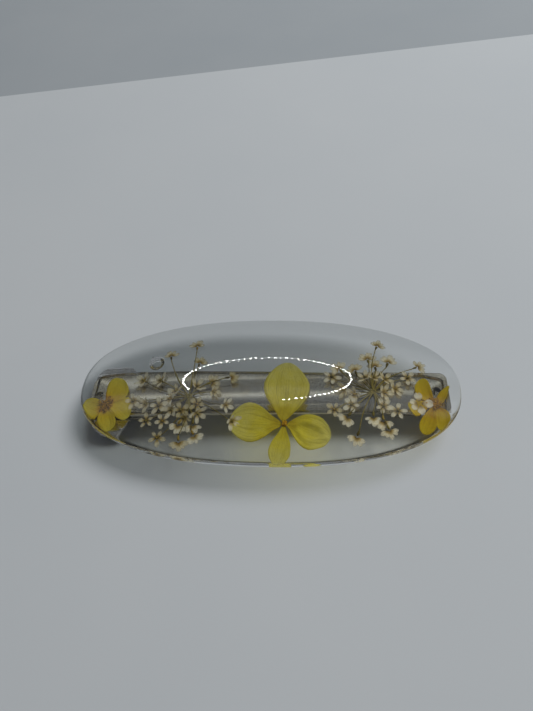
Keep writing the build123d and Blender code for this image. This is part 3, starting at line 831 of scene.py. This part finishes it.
# ---- Lace flowers ----
TILTS = {"side": (1.0, 0.18), "tilted": (0.7, 0.7), "open": (0.12, 1.0)}  # facing out, and up
FLORET_LOBES = 5
FLORET_LENGTHS = (1.65, 2.15)  # of its petals, over its size
FLORET_WIDTHS = (0.46, 0.60)  # over their length
LONGER = {"side": 1.0, "tilted": 1.12, "open": 1.0}
FLARE = {"side": 0.42, "tilted": 0.30, "open": 0.18}  # how far its petals lean forward
FAN_STEP = 0.64  # radians between the petals of a floret pressed on its side
FAN_OUT = 0.7  # how far out from its calyx they start, over its size
FAN_DROP = 0.5
CUP_LENGTH, CUP_WIDTH = 1.5, 0.85  # of a calyx, over the floret's size
CUP_RISE = 0.9  # a calyx on its side lies on top of the petals
PRESSED = 0.38  # share of their height that pressing leaves
STALK_STEPS = 8


def add_blade(shape, root, along, across, up, length, width, shade, curl):
    """One obovate floret petal with a notched tip."""
    rows, marks = [], []
    steps, columns = 7, 4
    for r in range(steps + 1):
        s = r / steps
        half = width / 2 * (0.16 + 0.84 * math.sin(math.pi * min(s, 0.98) ** 1.35) ** 0.7)
        row, row_marks = [], []
        for c in range(columns + 1):
            v = 2 * c / columns - 1
            notch = 0.16 * length * (1 - abs(v)) * max(s - 0.6, 0)
            lift = curl * length * (0.35 * s * s - 0.5 * s + 0.35 * v * v * s)
            row.append(root + along * (s * length - notch) + across * half * v + up * lift)
            row_marks.append((s, v, shade))
        rows.append(row)
        marks.append(row_marks)
    shape.grid(rows, marks)


def add_floret(petals, cups, centre, bearing, lie, size, draw):
    """A lace floret: notched petals on a tear-shaped calyx. Returns where its stalk ends."""
    outward = Vector((math.cos(bearing), math.sin(bearing), 0))
    out, up = TILTS[lie]
    facing = (outward * out + Vector((0, 0, up))).normalized()
    first = facing.orthogonal().normalized()
    second = facing.cross(first)
    middle = Vector((*centre, FLORET_Z))
    root = middle - facing * (0.75 * size * out)
    start = draw.uniform(0, FULL_TURN)
    age = draw.uniform(0, 1)
    mine = Shape()
    for index, a in enumerate(turns(FLORET_LOBES)):
        a += start + draw.uniform(-0.12, 0.12)
        ray = first * math.cos(a) + second * math.sin(a)
        lean = FLARE[lie] + draw.uniform(-0.08, 0.12)
        along = (ray * (1 - lean) + facing * lean).normalized()
        if lie == "side":
            fan = bearing + FAN_STEP * (index - 2) + draw.uniform(-0.15, 0.15)
            along = Vector((math.cos(fan), math.sin(fan), 0.25 * (index % 2))).normalized()
            facing = Vector((0, 0, 1))
        across = along.cross(facing).normalized()
        over = across.cross(along)
        length = size * draw.uniform(*FLORET_LENGTHS) * LONGER[lie]
        width = length * draw.uniform(*FLORET_WIDTHS)
        base = root + along * 0.22
        if lie == "side":
            base = base + outward * (FAN_OUT * size) - Vector((0, 0, FAN_DROP))
        add_blade(mine, base, along, across, over, length, width, age, draw.uniform(0.1, 0.6))
    pressed = [(x, y, FLORET_Z + 0.1 + (z - FLORET_Z) * PRESSED) for x, y, z in mine.points]
    petals.add(pressed, mine.faces, mine.marks)
    if lie == "side":
        facing = outward
        root.z += CUP_RISE
    flat = Vector((facing.x, facing.y, facing.z * PRESSED))
    root.z = FLORET_Z + (root.z - FLORET_Z) * PRESSED
    cup_middle = root - flat * 0.15
    cups.grain(cup_middle, flat, CUP_LENGTH * size, CUP_WIDTH * size, draw.uniform(0, 1.3), taper=0.8)
    if lie != "side":
        for a in turns(4):
            bead = root + Vector((0.3 * math.cos(a + start), 0.3 * math.sin(a + start), 0.28))
            cups.grain(bead, (0, 0, 1), 0.22, 0.2, draw.uniform(0.3, 1), sides=6, rings=5)
    return root - flat * 0.7


def build_umbel(side, hub, florets, size, seed):
    """Rays from the hub, each ending in a floret."""
    draw = random.Random(seed)
    petals, cups, rays = Shape(), Shape(), Shape()
    start = Vector((*hub, RAY_Z))
    for bearing, reach, lie in florets:
        centre = polar(hub, bearing, reach)
        facing = math.radians(bearing) + draw.uniform(-0.3, 0.3)
        scale = size * draw.uniform(0.88, 1.1)
        end = add_floret(petals, cups, centre, facing, lie, scale, draw)
        run = end - start
        aside = Vector((-run.y, run.x, 0)) * draw.uniform(-0.09, 0.09)
        path = []
        for step in range(STALK_STEPS + 1):
            t = step / STALK_STEPS
            sag = math.sin(math.pi * t)
            path.append(start + run * t + aside * sag + Vector((0, 0, -0.12 * sag)))
        radii = [0.15 - 0.07 * step / STALK_STEPS for step in range(STALK_STEPS + 1)]
        radii[-1] += 0.05
        rays.tube(path, radii, draw.uniform(0.2, 1.0))
    for bearing in range(0, 360, 45):
        knob = polar(hub, bearing + draw.uniform(-15, 15), 0.45)
        lean = (draw.uniform(-1, 1), draw.uniform(-1, 1), 0.4)
        rays.grain((*knob, RAY_Z), lean, 0.7, 0.42, 0.7)
    florets_node, rays_node = side + "_umbel_florets", side + "_umbel_rays"
    petals.piece(
        side + "_umbel_petals",
        FLORET,
        "cream_floret",
        (florets_node,),
        thickness=FLORET_LEAF,
        shadow=False,
    )
    cups.piece(side + "_umbel_calyces", STALK, "dried_stalk", (florets_node,))
    rays.piece(side + "_umbel_stalks", STALK, "dried_stalk", (rays_node,))


build_umbel("left", LEFT_HUB, LEFT_UMBEL, 0.98, 31)
build_umbel("right", RIGHT_HUB, RIGHT_UMBEL, 1.0, 32)

loose = Shape()
for bearing, length in LOOSE_PETALS:
    a = math.radians(bearing)
    along = Vector((math.cos(a), math.sin(a), 0))
    across = Vector((-along.y, along.x, 0))
    root = Vector((*LOOSE_CENTRE, FLORET_Z + 0.35)) + along * 0.5
    add_blade(loose, root, along, across, Vector((0, 0, 1)), length, length * 0.85, 0.0, 0.4)
loose.piece(
    "loose_floret_petals",
    FLORET,
    "cream_floret",
    ("loose_floret",),
    thickness=FLORET_LEAF,
    shadow=False,
)

# ---- Carried-over CAD nodes ----
for metal, names in (
    (STEEL, ("base_plate", "hinge_pin", "latch_base", "latch_rivet", "clasp_arm")),
    (SPRING, ("tension_bar", "latch_prong_front", "latch_prong_back")),
):
    for name in names:
        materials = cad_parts[name].data.materials
        materials.clear()
        materials.append(metal)

# ---- Floor and backdrop ----
PAPER_EDGE_Y = 162.8  # where the paper ends on the far side, at X = 0
PAPER_TURN = math.radians(6.7)  # of that edge, from the X axis
BACKDROP_LAP = 20.0  # how far the backdrop runs on under the paper
BACKDROP_DROP = 1.5
STAGE_SIZE = 3000.0  # each sheet reaches this far
STAGE_STEPS = 12


def stage_sheet(name, material, near_y, far_y, z):
    """A flat sheet on the stage, turned with the paper's edge."""
    c, s = math.cos(PAPER_TURN), math.sin(PAPER_TURN)
    rows = []
    for y in np.linspace(near_y, far_y, STAGE_STEPS):
        row = []
        for x in np.linspace(-STAGE_SIZE, STAGE_SIZE, STAGE_STEPS):
            past = y - PAPER_EDGE_Y
            row.append((x * c - past * s, x * s + past * c + PAPER_EDGE_Y, z))
        rows.append(row)
    shape = Shape()
    shape.grid(rows)
    shape.placed(name, material)


def paper_material(name, colour, other, roughness):
    """Matt sheet with soft clouds of two colours and a fine fibre."""
    material, tree = material_tree(name)
    where = place(tree)
    cloud = speckle(tree, where, 0.012, 3.0)
    fibre = speckle(tree, where, 1.5, 4.0)
    base = ramp(tree, cloud, [(0.3, colour), (0.7, other)])
    normal = bumped(tree, fibre, 0.02, 0.3)
    finish_material(tree, dull_skin(tree, base, roughness, 0.2, normal))
    return material


PAPER = paper_material("floor_paper_white", (0.64, 0.665, 0.685), (0.67, 0.69, 0.705), 0.7)
BACKDROP = paper_material("backdrop_grey", (0.42, 0.45, 0.475), (0.45, 0.475, 0.495), 0.8)
stage_sheet("floor_paper", PAPER, -STAGE_SIZE, PAPER_EDGE_Y, 0.0)
stage_sheet("backdrop_table", BACKDROP, PAPER_EDGE_Y - BACKDROP_LAP, STAGE_SIZE, -BACKDROP_DROP)

# ---- Lights ----
SOFT_LIGHT_AT = (0.62, 0.60, 1.00)  # metres
SOFT_LIGHT_SIZE = 0.62
SOFT_LIGHT_POWER = 12.2


def area_light(name, location, size, power, colour):
    """A soft round lamp aimed at the origin; it isn't seen in reflections or through the resin."""
    light = bpy.data.lights.new(name, "AREA")
    light.shape = "DISK"
    light.size = size
    light.energy = power
    light.color = colour
    made = bpy.data.objects.new(name, light)
    made.location = location
    made.rotation_euler = (-Vector(location)).to_track_quat("-Z", "Y").to_euler()
    made.visible_glossy = False
    made.visible_transmission = False
    bpy.context.scene.collection.objects.link(made)
    return made


area_light("soft_window", SOFT_LIGHT_AT, SOFT_LIGHT_SIZE, SOFT_LIGHT_POWER, (0.97, 0.99, 1.0))

# The room: even light, a brighter band high over the far side and a darker patch overhead.
# Towards both ends of the barrette the bands fade into one plain level.
ROOM_COLOUR = (0.90, 0.95, 1.0, 1.0)
ROOM_STRENGTH = 0.225  # as seen in reflections and through the resin
ROOM_FILL = 0.10  # as it lights dull surfaces
ROOM_BANDS = [  # share of the half turn from the far horizon, over the top, to the near one; brightness
    (0.00, 0.75),
    (0.30, 0.80),
    (0.345, 1.10),
    (0.36, 3.60),
    (0.41, 3.60),
    (0.43, 0.90),
    (0.50, 0.40),
    (0.62, 0.55),
    (1.00, 0.80),
]
ROOM_TOP_BAND = 4.0  # bands are stored over this, because a colour ramp stops at 1
ROOM_PLAIN = 0.8
ROOM_FADE = (0.55, 0.85)  # from bands to plain, in the sideways part of the direction


def build_room():
    """The world's light, banded from the far horizon over the top to the near one."""
    world = bpy.data.worlds.new("soft_room")
    bpy.context.scene.world = world
    world.use_nodes = True
    tree = world.node_tree
    tree.nodes.clear()
    towards = node(tree, "TexCoord").outputs["Generated"]
    parts = node(tree, "SeparateXYZ", {"Vector": towards})
    turn = maths(tree, "ARCTAN2", parts.outputs["Z"], parts.outputs["Y"])
    share = maths(tree, "DIVIDE", turn, math.pi)
    bands = ramp(tree, share, [(at, [v / ROOM_TOP_BAND] * 3) for at, v in ROOM_BANDS])
    sideways = maths(tree, "ABSOLUTE", parts.outputs["X"])
    plain = rescaled(tree, sideways, *ROOM_FADE)
    level = mix_colours(tree, plain, bands, (*[ROOM_PLAIN / ROOM_TOP_BAND] * 3, 1.0))
    dull = node(tree, "LightPath").outputs["Is Diffuse Ray"]
    chosen = rescaled(tree, dull, 0.0, 1.0, ROOM_TOP_BAND * ROOM_STRENGTH, ROOM_TOP_BAND * ROOM_FILL)
    strength = maths(tree, "MULTIPLY", level, chosen)
    background = node(tree, "Background", {"Color": ROOM_COLOUR, "Strength": strength})
    node(tree, "OutputWorld", {"Surface": background.outputs[0]})


build_room()

# The ring lamp: small bright dots, seen only as their reflection in the clear resin.
RING_DISTANCE = 1200.0
RING_BEARING = -11.2  # degrees from +Y towards +X
RING_ELEVATION = 57.5
RING_ACROSS = 17.0  # half-angles in degrees
RING_UP = 14.8
RING_DOTS = 88
RING_DOT_WIDE, RING_DOT_TALL = 5.0, 8.0
RING_GAP = (88, 165)  # degrees round the ring with no dots, from its right end
RING_RADIANCE = 60.0


def build_ring_lamp():
    """Dots on an ellipse about the lamp's direction, which light nothing but their own reflection."""
    bearing, elevation = math.radians(RING_BEARING), math.radians(RING_ELEVATION)
    level = math.cos(elevation)
    ahead = Vector((math.sin(bearing) * level, math.cos(bearing) * level, math.sin(elevation)))
    right = ahead.cross(Vector((0, 0, 1))).normalized()
    up = right.cross(ahead)
    shape = Shape()
    for a in turns(RING_DOTS):
        if RING_GAP[0] < math.degrees(a) < RING_GAP[1]:
            continue
        across = math.tan(math.radians(RING_ACROSS)) * math.cos(a)
        rise = math.tan(math.radians(RING_UP)) * math.sin(a)
        middle = (ahead + right * across + up * rise) * RING_DISTANCE
        shape.grain(middle, up, 2 * RING_DOT_TALL, 2 * RING_DOT_WIDE, sides=10)
    material, tree = material_tree("ring_lamp_glow")
    path = node(tree, "LightPath")
    first = maths(tree, "LESS_THAN", path.outputs["Ray Depth"], 1.5)
    sharp = maths(tree, "MULTIPLY", path.outputs["Is Singular Ray"], first)
    power = maths(tree, "MULTIPLY", sharp, RING_RADIANCE)
    glow = node(tree, "Emission", {"Color": (1.0, 0.99, 0.97, 1.0), "Strength": power})
    finish_material(tree, glow.outputs[0])
    material.cycles.emission_sampling = "NONE"
    lamp = shape.placed("ring_lamp", material)
    lamp.visible_camera = False
    lamp.visible_diffuse = False
    lamp.visible_shadow = False


build_ring_lamp()

# ---- Camera: lens, place, aim and roll give the photograph's view ----
CAMERA_AT = (13.92, -64.21, 106.62)
CAMERA_AIM = (0.41, 5.97, 10.2)
CAMERA_ROLL = -8.7
CAMERA_LENS = 27.04
SENSOR_WIDTH = 36.0


def build_camera():
    """Sets the scene's camera from its place, the point it is aimed at and its roll."""
    data = bpy.data.cameras.new("camera")
    data.lens = CAMERA_LENS
    data.sensor_width = SENSOR_WIDTH
    data.clip_start = 0.005
    data.clip_end = 20.0
    made = bpy.data.objects.new("camera", data)
    bpy.context.scene.collection.objects.link(made)
    at = Vector(CAMERA_AT) * MM
    ahead = (Vector(CAMERA_AIM) * MM - at).normalized()
    level = ahead.cross(Vector((0, 0, 1))).normalized()
    upright = level.cross(ahead)
    roll = math.radians(CAMERA_ROLL)
    right = level * math.cos(roll) + upright * math.sin(roll)
    up = upright * math.cos(roll) - level * math.sin(roll)
    made.matrix_world = Matrix.Translation(at) @ Matrix((right, up, -ahead)).transposed().to_4x4()
    bpy.context.scene.camera = made


build_camera()

# ---- Colour and light paths ----
LIGHT_BOUNCES = 16  # enough to pass the bubbles, both faces of the resin and the glue
scene = bpy.context.scene
scene.view_settings.view_transform = "Standard"
scene.view_settings.look = "None"
scene.cycles.sample_clamp_indirect = 0.0
scene.cycles.max_bounces = LIGHT_BOUNCES
scene.cycles.transmission_bounces = LIGHT_BOUNCES
scene.cycles.transparent_max_bounces = LIGHT_BOUNCES
